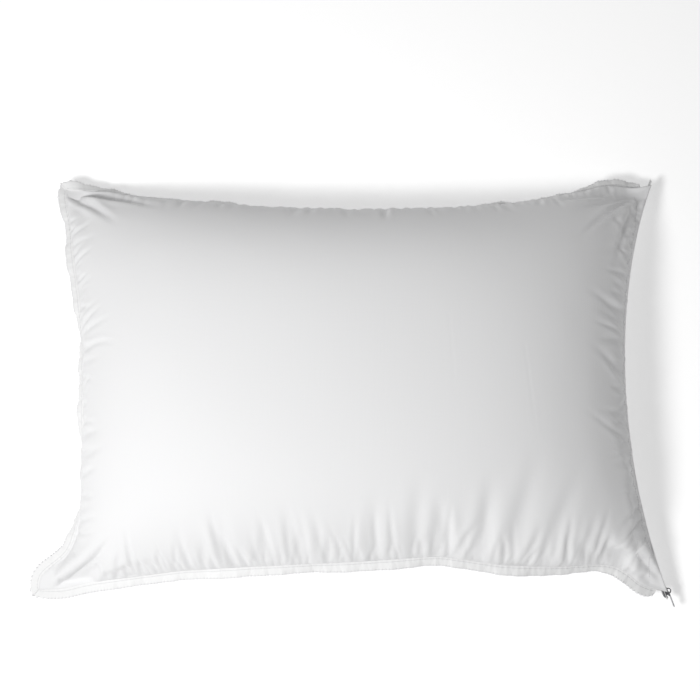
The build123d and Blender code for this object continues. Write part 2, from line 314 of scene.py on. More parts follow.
# Large folds of the top panel: the fold's start, a point it bends towards, and its end, in plan,
# then its width and depth, and how much of its far side stands up as a ridge
BIG_FOLDS = (
    # -X -Y corner
    ((-0.304, -0.219), (-0.270, -0.208), (-0.250, -0.184), 0.0100, 0.0060, 0.2),
    ((-0.306, -0.217), (-0.276, -0.199), (-0.243, -0.160), 0.0028, 0.0034, 1.0),
    ((-0.306, -0.218), (-0.276, -0.201), (-0.242, -0.164), 0.0075, 0.0095, 0.9),
    ((-0.300, -0.214), (-0.270, -0.203), (-0.252, -0.196), 0.0045, 0.0030, 0.5),
    ((-0.312, -0.180), (-0.292, -0.160), (-0.284, -0.120), 0.0055, 0.0032, 0.8),
    ((-0.318, -0.206), (-0.300, -0.176), (-0.268, -0.120), 0.0060, 0.0020, 0.6),
    ((-0.310, -0.212), (-0.309, -0.218), (-0.305, -0.226), 0.0030, 0.0022, 0.6),
    ((-0.248, -0.206), (-0.240, -0.200), (-0.228, -0.195), 0.0035, 0.0026, 0.8),
    ((-0.262, -0.208), (-0.254, -0.204), (-0.246, -0.199), 0.0030, 0.0020, 0.8),
    ((-0.234, -0.204), (-0.215, -0.198), (-0.196, -0.196), 0.0060, 0.0028, 0.3),
    # +X -Y corner
    ((0.321, -0.216), (0.296, -0.196), (0.278, -0.128), 0.0065, 0.0055, 0.7),
    ((0.316, -0.222), (0.290, -0.204), (0.252, -0.192), 0.0065, 0.0040, 0.7),
    ((0.306, -0.192), (0.270, -0.182), (0.222, -0.192), 0.0050, 0.0034, 0.9),
    ((0.300, -0.194), (0.262, -0.184), (0.236, -0.156), 0.0080, 0.0030, 0.8),
    ((0.300, -0.166), (0.292, -0.130), (0.284, -0.080), 0.0070, 0.0030, 0.8),
    ((0.302, -0.120), (0.286, -0.086), (0.262, -0.040), 0.0060, 0.0020, 0.8),
    ((0.312, -0.214), (0.300, -0.205), (0.281, -0.196), 0.0035, 0.0030, 0.9),
    ((0.322, -0.208), (0.312, -0.200), (0.301, -0.184), 0.0035, 0.0030, 0.9),
    ((0.326, -0.200), (0.316, -0.182), (0.298, -0.150), 0.0050, 0.0030, 0.7),
    ((0.286, -0.192), (0.262, -0.178), (0.226, -0.176), 0.0070, 0.0026, 0.7),
    ((0.270, -0.200), (0.238, -0.186), (0.214, -0.160), 0.0070, 0.0022, 0.6),
    # +X +Y corner
    ((0.316, 0.214), (0.282, 0.202), (0.226, 0.174), 0.0085, 0.0095, 0.7),
    ((0.306, 0.202), (0.268, 0.178), (0.232, 0.138), 0.0030, 0.0055, 1.0),
    ((0.300, 0.184), (0.288, 0.152), (0.272, 0.108), 0.0040, 0.0032, 0.9),
    ((0.306, 0.196), (0.284, 0.180), (0.262, 0.156), 0.0045, 0.0026, 0.8),
    ((0.320, 0.208), (0.306, 0.190), (0.290, 0.142), 0.0050, 0.0034, 0.9),
    ((0.272, 0.208), (0.256, 0.200), (0.240, 0.196), 0.0040, 0.0030, 0.8),
    ((0.284, 0.214), (0.272, 0.206), (0.262, 0.198), 0.0030, 0.0024, 0.8),
    ((0.248, 0.200), (0.232, 0.196), (0.214, 0.190), 0.0045, 0.0030, 0.6),
    # -X +Y corner
    ((-0.322, 0.219), (-0.276, 0.206), (-0.196, 0.176), 0.0040, 0.0085, 1.0),
    ((-0.320, 0.215), (-0.292, 0.198), (-0.246, 0.156), 0.0040, 0.0065, 1.0),
    ((-0.321, 0.217), (-0.312, 0.212), (-0.296, 0.204), 0.0040, 0.0050, 0.3),
    ((-0.312, 0.210), (-0.296, 0.186), (-0.284, 0.140), 0.0070, 0.0018, 0.5),
    ((-0.310, 0.222), (-0.270, 0.216), (-0.232, 0.204), 0.0040, 0.0020, 0.6),
    # Faint press lines across the crown
    ((0.098, 0.150), (0.101, 0.110), (0.104, 0.070), 0.0012, 0.00014, 1.0),
    ((0.094, 0.050), (0.098, 0.000), (0.100, -0.050), 0.0013, 0.00014, 1.0),
    ((0.170, 0.020), (0.176, -0.040), (0.186, -0.100), 0.0014, 0.00018, 1.0),
    # Long soft folds that run up from the -Y seam
    ((0.085, -0.192), (0.080, -0.170), (0.084, -0.120), 0.0075, 0.0040, 0.8),
    ((0.098, -0.190), (0.094, -0.166), (0.082, -0.132), 0.0060, 0.0030, 0.8),
    ((0.125, -0.186), (0.132, -0.150), (0.136, -0.100), 0.0080, 0.0030, 0.8),
    ((0.066, -0.190), (0.058, -0.150), (0.068, -0.100), 0.0090, 0.0022, 0.7),
    ((0.160, -0.184), (0.166, -0.140), (0.188, -0.070), 0.0100, 0.0022, 0.7),
    ((0.196, -0.186), (0.206, -0.150), (0.232, -0.088), 0.0090, 0.0020, 0.7),
    ((0.020, -0.190), (0.016, -0.160), (0.022, -0.118), 0.0080, 0.0020, 0.7),
    ((-0.052, -0.190), (-0.062, -0.168), (-0.072, -0.130), 0.0070, 0.0022, 0.7),
    ((-0.124, -0.192), (-0.134, -0.168), (-0.140, -0.136), 0.0075, 0.0020, 0.7),
)

# Gathers along a seam: how far apart, how long, how wide and how deep, and how they lean
GATHERS = {
    "near": dict(
        pitch=0.0088, long=(0.018, 0.075), wide=(0.0024, 0.0048), deep=(0.0008, 0.0026), lean=0.25
    ),
    "far": dict(
        pitch=0.0100, long=(0.012, 0.040), wide=(0.0024, 0.0042), deep=(0.0006, 0.0020), lean=0.25
    ),
    "left": dict(
        pitch=0.0110, long=(0.012, 0.055), wide=(0.0022, 0.0042), deep=(0.0009, 0.0024), lean=0.35
    ),
    "right": dict(
        pitch=0.0095, long=(0.020, 0.075), wide=(0.0022, 0.0044), deep=(0.0010, 0.0028), lean=0.50
    ),
}
GATHER_MARGIN = 0.020  # length at each end of a seam that has no gathers
FINE_SIZE = 0.5  # size of the finer gathers, as a share of the main ones'


def curve_between(start, bend, end, count=24):
    f = np.linspace(0, 1, count)[:, None]
    start, bend, end = (np.array(place) for place in (start, bend, end))
    return start * (1 - f) ** 2 + bend * 2 * f * (1 - f) + end * f**2


def add_fold(off, form, path, width, depth, ridge, seam_end):
    """Presses one fold into off, the panel's distance off its smooth form, along a path in plan.

    seam_end is the share of its depth that the fold has where its path starts, at the seam.
    """
    low = path.min(0) - 4 * width
    high = path.max(0) + 4 * width
    rows, columns = np.where(((form[..., :2] > low) & (form[..., :2] < high)).all(-1))
    if len(rows) == 0:
        return
    spots = form[rows, columns, :2]
    gap = spots[:, None] - path[None]
    nearest = (gap**2).sum(-1).argmin(1)
    ahead = unit(np.gradient(path, axis=0))[nearest]
    gap = gap[np.arange(len(spots)), nearest]
    beside = (ahead[:, 0] * gap[:, 1] - ahead[:, 1] * gap[:, 0]) / width
    past = np.abs((ahead * gap).sum(-1)) / width
    f = nearest / (len(path) - 1)
    strength = (seam_end + (1 - seam_end) * smoothstep(f, 0, 0.25)) * (1 - smoothstep(f, 0.25, 1.0))
    strength = strength * np.exp(-(past**2))
    shape = -np.exp(-(beside**2)) + ridge * 0.55 * np.exp(-((beside - 1.5) ** 2))
    shape += ridge * 0.35 * np.exp(-((beside + 1.7) ** 2))
    off[rows, columns] += depth * strength * shape


def add_gathers(off, form, side, seed, share=1.0, size=1.0):
    """Lays gathers of uneven size along one seam. size makes them all smaller and closer."""
    rng = np.random.default_rng(seed)
    facts = GATHERS[side]
    points, outward, ahead, where = side_line(side, 0.002)
    place = GATHER_MARGIN
    while place < where[-1] - GATHER_MARGIN:
        row = int(np.searchsorted(where, place))
        length = rng.uniform(*facts["long"]) * rng.uniform(0.6, 1.0) * size
        lean = rng.normal(0, facts["lean"])
        inward = -outward[row, :2] + ahead[row, :2] * lean
        start = points[row, :2] + outward[row, :2] * 0.001
        end = start + inward * length
        bend = start + inward * length * 0.5 + ahead[row, :2] * rng.normal(0, 0.08) * length
        width = rng.uniform(*facts["wide"]) * size
        depth = rng.uniform(*facts["deep"]) * share * size
        depth *= smoothstep(min(place, where[-1] - place), GATHER_MARGIN, 0.085)
        add_fold(off, form, curve_between(start, bend, end), width, depth, rng.uniform(0.5, 1.0), 0.3)
        place += facts["pitch"] * rng.uniform(0.5, 1.5) * size


def soft_noise(shape, cells, seed):
    """Smooth seeded noise, from about -1 to 1, with that many cells down and across."""
    rng = np.random.default_rng(seed)
    down, across = cells
    coarse = rng.uniform(-1, 1, (down + 3, across + 3))
    result = coarse
    for axis, (cell_count, size) in enumerate(zip(cells, shape)):
        spots = np.linspace(0, cell_count - 1e-6, size)
        k = spots.astype(int)
        f = spots - k
        weights = [
            ((1 - f) ** 3) / 6,
            (3 * f**3 - 6 * f**2 + 4) / 6,
            (-3 * f**3 + 3 * f**2 + 3 * f + 1) / 6,
            f**3 / 6,
        ]
        result = np.moveaxis(result, axis, 0)
        result = sum(w[:, None] * result[k + i] for i, w in enumerate(weights))
        result = np.moveaxis(result, 0, axis)
    return result * 1.8


# ---------------------------------------------------------------- cloth


def normals_of(points):
    along = np.gradient(points, axis=1)
    across = np.gradient(points, axis=0)
    return unit(np.cross(along, across))


def lengths(points, axis):
    """Distances between neighbouring grid points, along rows (axis 1) or down columns (axis 0)."""
    return np.linalg.norm(np.diff(points, axis=axis), axis=-1)


def pull_together(points, rest, axis, stiffness):
    """Moves neighbouring grid points towards their rest distance, one independent set at a time."""
    grid = points if axis else points.swapaxes(0, 1)
    goal = rest if axis else rest.swapaxes(0, 1)
    for first in range(2):
        b = grid[:, first + 1 :: 2]
        a = grid[:, first::2][:, : b.shape[1]]
        target = goal[:, first::2][:, : b.shape[1]]
        gap = b - a
        length = np.maximum(np.linalg.norm(gap, axis=-1), 1e-9)
        move = gap * (0.5 * stiffness * (length - target) / length)[..., None]
        a += move
        b -= move


CLOTH_STIFFNESS = 0.9
CLOTH_SMOOTHING = 0.05
FILLING_PUSH = 0.00002


def settle(points, form, normal, spare_x, spare_y, low, high, rounds, push):
    """Lets a panel's cloth settle on its filling, pushed along its normals at each round.

    spare_x and spare_y are the shares by which the cloth is longer than the form it lies on.
    The cloth stays between low and high metres off the form, and its border is sewn in place.
    """
    rest_x = np.maximum(lengths(form, 1) * (1 + spare_x[:, 1:]), 0.5 * lengths(points, 1))
    rest_y = np.maximum(lengths(form, 0) * (1 + spare_y[1:]), 0.5 * lengths(points, 0))
    sewn = points.copy()
    for _ in range(rounds):
        points += normals_of(points) * push
        pull_together(points, rest_x, 1, CLOTH_STIFFNESS)
        pull_together(points, rest_y, 0, CLOTH_STIFFNESS)
        centre = 0.25 * (points[:-2, 1:-1] + points[2:, 1:-1] + points[1:-1, :-2] + points[1:-1, 2:])
        points[1:-1, 1:-1] += CLOTH_SMOOTHING * (centre - points[1:-1, 1:-1])
        off = ((points - form) * normal).sum(-1)
        points -= normal * (off - np.clip(off, low, high))[..., None]
        points[[0, -1]] = sewn[[0, -1]]
        points[:, [0, -1]] = sewn[:, [0, -1]]
    return points


CAST_FROM = 0.3  # height from which rays are cast down, above the whole pillow


def keep_above(points, grids, gap):
    """Lifts points that have sunk below any of the surfaces that lie under them."""
    lifted = points.copy()
    for grid in grids:
        rows, columns = grid.shape[:2]
        quads = quads_of(np.arange(rows * columns).reshape(rows, columns)).tolist()
        tree = BVHTree.FromPolygons(grid.reshape(-1, 3).tolist(), quads)
        for row, column in np.ndindex(*points.shape[:2]):
            x, y, z = lifted[row, column]
            hit = tree.ray_cast((x, y, CAST_FROM), (0, 0, -1))[0]
            if hit is not None and z < hit.z + gap:
                lifted[row, column, 2] = hit.z + gap
    return lifted


# ---------------------------------------------------------------- meshes


def mesh_object(name, points, faces):
    mesh = bpy.data.meshes.new(name)
    mesh.from_pydata(np.asarray(points).reshape(-1, 3).tolist(), [], [list(face) for face in faces])
    mesh.shade_smooth()
    thing = bpy.data.objects.new(name, mesh)
    bpy.context.scene.collection.objects.link(thing)
    return thing


def quads_of(index):
    """Faces between neighbours of a grid of point numbers."""
    return np.stack([index[:-1, :-1], index[:-1, 1:], index[1:, 1:], index[1:, :-1]], -1).reshape(-1, 4)


def shell_faces(rows, columns, upwards):
    """Faces of a closed layer: one grid, a second grid behind it, and a rim."""
    index = np.arange(rows * columns).reshape(rows, columns)
    quads = quads_of(index)
    back = quads[:, ::-1] + rows * columns
    loop = np.concatenate([index[0, :-1], index[:-1, -1], index[-1, :0:-1], index[:0:-1, 0]])
    after = np.roll(loop, -1)
    rim = np.stack([after, loop, loop + rows * columns, after + rows * columns], -1)
    faces = np.concatenate([quads, back, rim])
    return faces if upwards else faces[:, ::-1]


def layer_object(name, outer, inner, upwards):
    rows, columns = outer.shape[:2]
    points = np.concatenate([outer.reshape(-1, 3), inner.reshape(-1, 3)])
    return mesh_object(name, points, shell_faces(rows, columns, upwards))


def ring_faces(rings, sides, start):
    """Faces of a tube made of rings of points, with both ends closed."""
    index = start + np.arange(rings * sides).reshape(rings, sides)
    around = np.concatenate([index, index[:, :1]], 1)
    ends = [index[0, ::-1].tolist(), index[-1].tolist()]
    return quads_of(around)[:, ::-1].tolist(), ends


def loft_object(name, sections):
    """Tubes in one mesh, each an array of rings of points."""
    points = []
    faces = []
    for rings in sections:
        start = sum(len(done) for done in points)
        sides, ends = ring_faces(rings.shape[0], rings.shape[1], start)
        points.append(rings.reshape(-1, 3))
        faces += sides + ends
    return mesh_object(name, np.concatenate(points), faces)


TUBE_SIDES = 5


def tube(path, radius, reference):
    """Rings round a path. reference is a direction that the path never runs along."""
    ahead = unit(np.gradient(path, axis=0))
    across = unit(np.cross(ahead, reference))
    third = np.cross(ahead, across)
    turn = np.linspace(0, 2 * np.pi, TUBE_SIDES, endpoint=False)[None, :, None]
    size = np.broadcast_to(radius, path.shape[:1])[:, None, None]
    return path[:, None] + size * (across[:, None] * np.cos(turn) - third[:, None] * np.sin(turn))


# ---------------------------------------------------------------- pieces of the cover

PANEL_COLUMNS = 481
PANEL_ROWS = 301
DEEPEST = 0.0070  # how far the top panel's folds may press in
DEEPEST_AT_ZIP = 0.0014
CLEAR_BELOW = 0.0008  # least gap between the top panel's inner face and what lies under it


def cover_top_points(under):
    """The top panel, which lies on the surfaces of under."""
    form = shaped(smooth_top(PANEL_COLUMNS, PANEL_ROWS))
    normal = normals_of(form)
    s, t, _, _ = even_grid(PANEL_COLUMNS, PANEL_ROWS)
    off = np.zeros(form.shape[:2])
    for seed, side in enumerate(SIDES):
        add_gathers(off, form, side, GATHER_SEED + seed)
        add_gathers(off, form, side, FINE_GATHER_SEED + seed, 0.8, FINE_SIZE)
    for start, bend, end, width, depth, ridge in BIG_FOLDS:
        add_fold(off, form, curve_between(start, bend, end, 48), width, depth, ridge, 0.85)
    off += 0.0012 * soft_noise(off.shape, (7, 10), CROWN_SEED) * swell(s) * swell(t)
    off += 0.0003 * soft_noise(off.shape, (26, 40), CRINKLE_SEED) * (1 - (swell(s) * swell(t)) ** 2)
    deepest = DEEPEST_AT_ZIP + (DEEPEST - DEEPEST_AT_ZIP) * smoothstep(1 - s, 0.0, 0.10)
    off = np.where(off < 0, deepest * np.tanh(off / deepest), off)
    off *= smoothstep(1 - np.maximum(np.abs(s), np.abs(t)), 0.0, 0.02)
    points = form + normal * off[..., None]
    spare = 0.010 + 0.030 * smoothstep(np.maximum(np.abs(s), np.abs(t)), 0.6, 1.0)
    rounds = 10
    points = settle(points, form, normal, spare, spare, -0.012, 0.007, rounds, FILLING_PUSH)
    lifted = keep_above(points, under, CLOTH + CLEAR_BELOW)
    points[1:-1, 1:-1] = lifted[1:-1, 1:-1]
    return points


def cover_bottom_points():
    columns, rows = PANEL_COLUMNS // 2 + 1, PANEL_ROWS // 2 + 1
    form = shaped(smooth_bottom(columns, rows))
    normal = -normals_of(form)
    s, t, _, _ = even_grid(columns, rows)
    off = np.zeros(form.shape[:2])
    for seed, side in enumerate(SIDES):
        add_gathers(off, form, side, BOTTOM_GATHER_SEED + seed, 0.9)
    off *= smoothstep(1 - np.maximum(np.abs(s), np.abs(t)), 0.0, 0.03)
    off *= smoothstep(form[..., 2], 0.0, 0.012)
    points = form + normal * off[..., None]
    spare = np.full(off.shape, 0.015)
    resting = form[..., 2] < 0.0005
    rounds = 16
    high = np.where(resting, 0.0, 0.004)
    points = settle(points, form, normal, spare, spare, -0.006, high, rounds, -FILLING_PUSH)
    points[..., 2] = np.maximum(points[..., 2], 0.0)
    return points


def band_profile(inner, outer, half, groove=None):
    """Outline of a folded strip: flat faces, a rounded fold on its outer edge, a sewn groove."""
    flat = np.linspace(inner, outer - half, 9)
    thin = half * (1 - 0.45 * np.exp(-(((flat - groove) / 0.0009) ** 2))) if groove else 0 * flat + half
    turn = np.linspace(np.pi / 2, -np.pi / 2, 7)[1:-1]
    reach = np.concatenate([flat, outer - half + half * np.cos(turn), flat[::-1]])
    height = np.concatenate([thin, half * np.sin(turn), -thin[::-1]])
    return reach, height


DROOP = {  # share of the way along a side, and radians by which its hem hangs there
    "near": ((0.0, 0.0), (0.10, 0.15), (0.40, 0.35), (0.78, 0.30), (0.87, 0.80), (0.94, 0.30), (1.0, 0.2)),
    "far": ((0.0, 0.0), (0.03, 0.8), (0.12, 1.30), (0.50, 1.45), (0.76, 1.35), (0.90, 0.95), (1.0, 0.5)),
    "left": ((0.0, 0.0), (0.09, 0.2), (0.18, 1.25), (0.35, 1.1), (0.60, 0.9), (0.93, 0.6), (1.0, 0.0)),
}
HEM_END = 0.012
STITCH_LINE = 0.0021
STITCH_PITCH = 0.0029
STITCH_LENGTH = 0.0021
HEM_THREAD = 0.00024  # radius of the hem's stitches


def hem_place(side, points, outward, where, reach, height):
    """A point of a hem band, reach metres outside the seam; the band waves more towards its edge."""
    share = np.clip(reach / HEM_WIDTH, 0, 1)
    pucker = 0.0002 * np.sin(np.pi * where / STITCH_PITCH) * np.exp(-(((reach - STITCH_LINE) / 0.003) ** 2))
    height = height + pucker + ruffle(side, where) * (0.10 + 0.90 * share)
    steps = where / where.max() + np.linspace(-0.03, 0.03, 7).reshape(-1, *(1,) * where.ndim)
    droop = np.interp(steps, *np.array(DROOP[side]).T).mean(0)
    droop = droop * smoothstep(where / where.max(), 0, 0.03)
    along = np.asarray(reach * np.cos(droop) + height * np.sin(droop))[..., None]
    upwards = np.asarray(height * np.cos(droop) - np.maximum(reach, 0) * np.sin(droop))[..., None]
    return points + outward * along + UP * upwards


def hem_share(side, where):
    """A hem's width narrows to a rounded end where it meets the zip."""
    if side == "left":
        return np.ones_like(where)
    left = np.clip((where.max() - where) / HEM_END, 0, 1)
    return 0.15 + 0.85 * np.sqrt(1 - (1 - left) ** 2)


def side_span(side):
    return (-0.9995, 0.9995) if side == "left" else (-0.9995, HEM_ZIP_END)


def hem_band(side):
    points, outward, _, where = side_line(side, 0.0013, *side_span(side))
    reach, height = band_profile(-HEM_TUCK, HEM_WIDTH, HEM_HALF, STITCH_LINE)
    reach = reach * hem_share(side, where)[:, None]
    rings = hem_place(side, points[:, None], outward[:, None], where[:, None], reach, height[None])
    if side == "near":
        rings = rings[:, ::-1]
    return loft_object(f"hem_{side}", [rings])


def hem_stitches(side):
    """Rows of short threads sunk in the hem's groove, on both faces."""
    points, outward, ahead, where = side_line(side, STITCH_PITCH, *side_span(side))
    sections = []
    reach = np.full_like(where, STITCH_LINE)
    for face in (1, -1):
        middle = hem_place(side, points, outward, where, reach, face * HEM_HALF * 0.62)
        for place, direction in zip(middle[1:-1], ahead[1:-1]):
            f = np.linspace(-0.5, 0.5, 5)[:, None]
            path = place + direction * STITCH_LENGTH * f + UP * face * (0.00022 - 0.0012 * f**2)
            sections.append(tube(path, HEM_THREAD, UP))
    return loft_object(f"hem_stitches_{side}", sections)


LOOP_PITCH = 0.0036
LOOP_REACH = 0.0011
LOOP_THREAD = 0.00033


def edge_thread(side):
    """Overlock thread that coils round the hem's outer edge in small even loops."""
    points, outward, ahead, where = side_line(side, LOOP_PITCH / 12, *side_span(side))
    turn = 2 * np.pi * where / LOOP_PITCH
    reach = HEM_WIDTH * hem_share(side, where) - 0.0004 + LOOP_REACH * np.cos(turn)
    path = hem_place(side, points, outward, where, reach, 0.00105 * np.sin(turn))
    path += ahead * (0.0006 * np.sin(2 * turn))[:, None]
    return loft_object(f"hem_loops_{side}", [tube(path, LOOP_THREAD, ahead)])


# ---------------------------------------------------------------- zip


def on_zip(a, b, along):
    """Points of the zip: a across it upwards, b outwards, along from its middle towards +Y."""
    centre = np.array(zip_joint["pos_m"])
    axis = unit(np.array(zip_joint["axis"]))
    local = ZIP_MID + np.multiply.outer(a, UP) + np.multiply.outer(b, OUT) - centre
    angle = (np.asarray(along) / ZIP_RADIUS)[..., None]
    turned = local * np.cos(angle) + np.cross(axis, local) * np.sin(angle)
    return centre + turned + axis * (local @ axis)[..., None] * (1 - np.cos(angle))


COIL_PITCH = 0.0015
COIL_MIDDLE = (0.00125, -0.00163)
COIL_RADII = (0.00062, 0.00066)
COIL_WIRE = 0.00028
COIL_PAST_START = 0.0042
COIL_PAST_END = 0.0004
ZIP_ROW = 17  # columns of a panel's grid between the zip and the thread row that holds its tape
ZIP_THREAD = 0.00022


def zip_coil(name, sign):
    first, last = -ZIP_HALF_LENGTH - COIL_PAST_START, ZIP_HALF_LENGTH + COIL_PAST_END
    along = np.arange(first + COIL_WIRE, last - COIL_WIRE, COIL_PITCH / 10)
    turn = 2 * np.pi * along / COIL_PITCH + (0 if sign > 0 else np.pi)
    a = sign * (COIL_MIDDLE[0] + COIL_RADII[0] * np.cos(turn))
    b = COIL_MIDDLE[1] + COIL_RADII[1] * np.sin(turn)
    path = on_zip(a, b, along)
    middle = on_zip(0 * along, 0 * along, along)
    rings = tube(path, COIL_WIRE, unit(np.gradient(middle, axis=0)))
    return loft_object(name, [rings if sign > 0 else rings[:, ::-1]])


def zip_stitches(name, points, upper):
    """The thread row along the zip's side that holds the tape to a panel."""
    line = points[:, -ZIP_ROW]
    across = unit(points[:, -ZIP_ROW + 1] - points[:, -ZIP_ROW - 1])
    ahead = unit(np.gradient(line, axis=0))
    outward = unit(np.cross(across, ahead)) * (1 if upper else -1)
    travelled = np.concatenate([[0], np.cumsum(np.linalg.norm(np.diff(line, axis=0), axis=1))])
    sections = []
    for start in np.arange(0.012, travelled[-1] - 0.012, STITCH_PITCH):
        where = start + STITCH_LENGTH * np.linspace(0, 1, 5)
        path = np.stack([np.interp(where, travelled, line[:, axis]) for axis in range(3)], -1)
        raised = outward[int(np.searchsorted(travelled, start))]
        path += raised * (0.00020 - 0.00035 * np.linspace(-1, 1, 5) ** 2)[:, None]
        sections.append(tube(path, ZIP_THREAD, raised))
    return loft_object(name, sections)


# ---------------------------------------------------------------- inside


BAG_GRID = (121, 85)
BAG_DROP = 0.004  # how far the bag's crown lies below the cover's
BAG_FLOOR = 0.0024  # how high the bag's base lies above the ground
FILL_GRID = (97, 69)
FILL_DROP = 0.012
FILL_FLOOR = 0.0124


def bag_points(upper):
    if upper:
        form = shaped(smooth_top(*BAG_GRID, BAG_INSET, BAG_DROP))
    else:
        form = shaped(smooth_bottom(*BAG_GRID, BAG_INSET, BAG_FLOOR))
    s, t, _, _ = even_grid(*BAG_GRID)
    dent = 0.0006 * (soft_noise(s.shape, (14, 20), BAG_SEED + upper) - 1.0)
    dent *= smoothstep(1 - np.maximum(np.abs(s), np.abs(t)), 0.0, 0.1)
    normal = normals_of(form) * (1 if upper else -1)
    outer = form + normal * dent[..., None]
    return outer, outer - normal * CLOTH


def fill_points():
    inset = BAG_INSET + FILL_INSET
    top = shaped(smooth_top(*FILL_GRID, inset, FILL_DROP))
    bottom = shaped(smooth_bottom(*FILL_GRID, inset, FILL_FLOOR))
    s, t, _, _ = even_grid(*FILL_GRID)
    inside = smoothstep(1 - np.maximum(np.abs(s), np.abs(t)), 0.0, 0.2)
    top[..., 2] -= 0.0025 * (1 + soft_noise(s.shape, (9, 13), FILL_TOP_SEED)) * inside
    bottom[..., 2] += 0.0020 * (1 + soft_noise(s.shape, (9, 13), FILL_BOTTOM_SEED)) * inside
    return top, bottom


# ---------------------------------------------------------------- materials


def new_material(name):
    material = bpy.data.materials.new(name)
    material.use_nodes = True
    shader = material.node_tree.nodes["Principled BSDF"]
    return material, material.node_tree, shader


def add_node(tree, kind, inputs=(), **settings):
    made = tree.nodes.new(kind)
    for key, value in settings.items():
        setattr(made, key, value)
    for key, value in dict(inputs).items():
        made.inputs[key].default_value = value
    return made


def stretched_noise(tree, place, scale, size, detail=2.0):
    """Noise drawn out along the axes where scale is small."""
    mapping = add_node(tree, "ShaderNodeMapping", {"Scale": scale})
    noise = add_node(tree, "ShaderNodeTexNoise", {"Scale": size, "Detail": detail, "Roughness": 0.55})
    tree.links.new(place.outputs["Object"], mapping.inputs["Vector"])
    tree.links.new(mapping.outputs["Vector"], noise.inputs["Vector"])
    return noise.outputs["Fac"]


def add_up(tree, first, second, share=1.0):
    made = add_node(tree, "ShaderNodeMath", operation="MULTIPLY_ADD")
    made.inputs[1].default_value = share
    tree.links.new(second, made.inputs[0])
    tree.links.new(first, made.inputs[2])
    return made.outputs[0]


def colour_between(tree, factor, dark, light, low=0.3, high=0.7):
    ramp = add_node(tree, "ShaderNodeValToRGB")
    ramp.color_ramp.elements[0].position = low
    ramp.color_ramp.elements[0].color = (*dark, 1)
    ramp.color_ramp.elements[1].position = high
    ramp.color_ramp.elements[1].color = (*light, 1)
    tree.links.new(factor, ramp.inputs["Fac"])
    return ramp.outputs["Color"]


def roughness_between(tree, factor, low, high):
    made = add_node(tree, "ShaderNodeMapRange", {"To Min": low, "To Max": high})
    tree.links.new(factor, made.inputs["Value"])
    return made.outputs["Result"]


def bumped(tree, shader, height, distance, strength):
    bump = add_node(tree, "ShaderNodeBump", {"Distance": distance, "Strength": strength})
    tree.links.new(height, bump.inputs["Height"])
    tree.links.new(bump.outputs["Normal"], shader.inputs["Normal"])


def woven(name, colour, thread_scale=900.0, slub=0.5, bump=0.35, sheen=0.2, roughness=(0.68, 0.86)):
    """Close-woven cloth: two sets of crossing threads of uneven thickness."""
    material, tree, shader = new_material(name)
    place = add_node(tree, "ShaderNodeTexCoord")
    warp = stretched_noise(tree, place, (1.0, 0.035, 0.035), thread_scale)
    weft = stretched_noise(tree, place, (0.035, 1.0, 1.0), thread_scale)
    weave = add_up(tree, warp, weft)
    slubs = stretched_noise(tree, place, (1.0, 0.02, 0.05), thread_scale / 5, 1.0)
    crossing = stretched_noise(tree, place, (0.03, 1.0, 0.3), thread_scale / 5, 1.0)
    height = add_up(tree, add_up(tree, weave, slubs, slub), crossing, slub)
    threads = add_up(tree, slubs, crossing)
    tone = add_up(tree, threads, weave, 0.5)
    darker = tuple(value * 0.93 for value in colour)
    tree.links.new(colour_between(tree, tone, darker, colour, 1.1, 1.45), shader.inputs["Base Color"])
    tree.links.new(roughness_between(tree, weave, *roughness), shader.inputs["Roughness"])
    shader.inputs["Sheen Weight"].default_value = sheen
    shader.inputs["Sheen Roughness"].default_value = 0.45
    shader.inputs["Specular IOR Level"].default_value = 0.35
    bumped(tree, shader, height, 0.0002, bump)
    return material


def thread_material(name, colour):
    material, tree, shader = new_material(name)
    place = add_node(tree, "ShaderNodeTexCoord")
    fibres = stretched_noise(tree, place, (1, 1, 1), 2600.0)
    darker = tuple(value * 0.9 for value in colour)
    tree.links.new(colour_between(tree, fibres, darker, colour), shader.inputs["Base Color"])
    tree.links.new(roughness_between(tree, fibres, 0.45, 0.65), shader.inputs["Roughness"])
    shader.inputs["Sheen Weight"].default_value = 0.15
    bumped(tree, shader, fibres, 0.0001, 0.4)
    return material


def nylon(name, colour):
    material, tree, shader = new_material(name)
    place = add_node(tree, "ShaderNodeTexCoord")
    cloudy = stretched_noise(tree, place, (1, 1, 1), 700.0)
    darker = tuple(value * 0.94 for value in colour)
    tree.links.new(colour_between(tree, cloudy, darker, colour), shader.inputs["Base Color"])
    tree.links.new(roughness_between(tree, cloudy, 0.28, 0.42), shader.inputs["Roughness"])
    shader.inputs["Specular IOR Level"].default_value = 0.5
    return material


def satin_metal(name, colour, roughness):
    """Tumbled zinc: fine scratches, and small cloudy patches where it has been handled."""
    material, tree, shader = new_material(name)
    place = add_node(tree, "ShaderNodeTexCoord")
    scratches = stretched_noise(tree, place, (1.0, 0.08, 1.0), 2500.0)
    patches = stretched_noise(tree, place, (1, 1, 1), 350.0, 3.0)
    darker = tuple(value * 0.8 for value in colour)
    tree.links.new(colour_between(tree, patches, darker, colour), shader.inputs["Base Color"])
    rough = add_up(tree, patches, scratches)
    tree.links.new(roughness_between(tree, rough, *roughness), shader.inputs["Roughness"])
    shader.inputs["Metallic"].default_value = 1.0
    bumped(tree, shader, scratches, 0.00005, 0.25)
    return material


def fibre_fill(name, colour):
    material, tree, shader = new_material(name)
    place = add_node(tree, "ShaderNodeTexCoord")
    tufts = stretched_noise(tree, place, (1, 1, 1), 60.0, 8.0)
    darker = tuple(value * 0.85 for value in colour)
    tree.links.new(colour_between(tree, tufts, darker, colour), shader.inputs["Base Color"])
    shader.inputs["Roughness"].default_value = 0.95
    shader.inputs["Sheen Weight"].default_value = 0.5
    bumped(tree, shader, tufts, 0.004, 0.8)
    return material


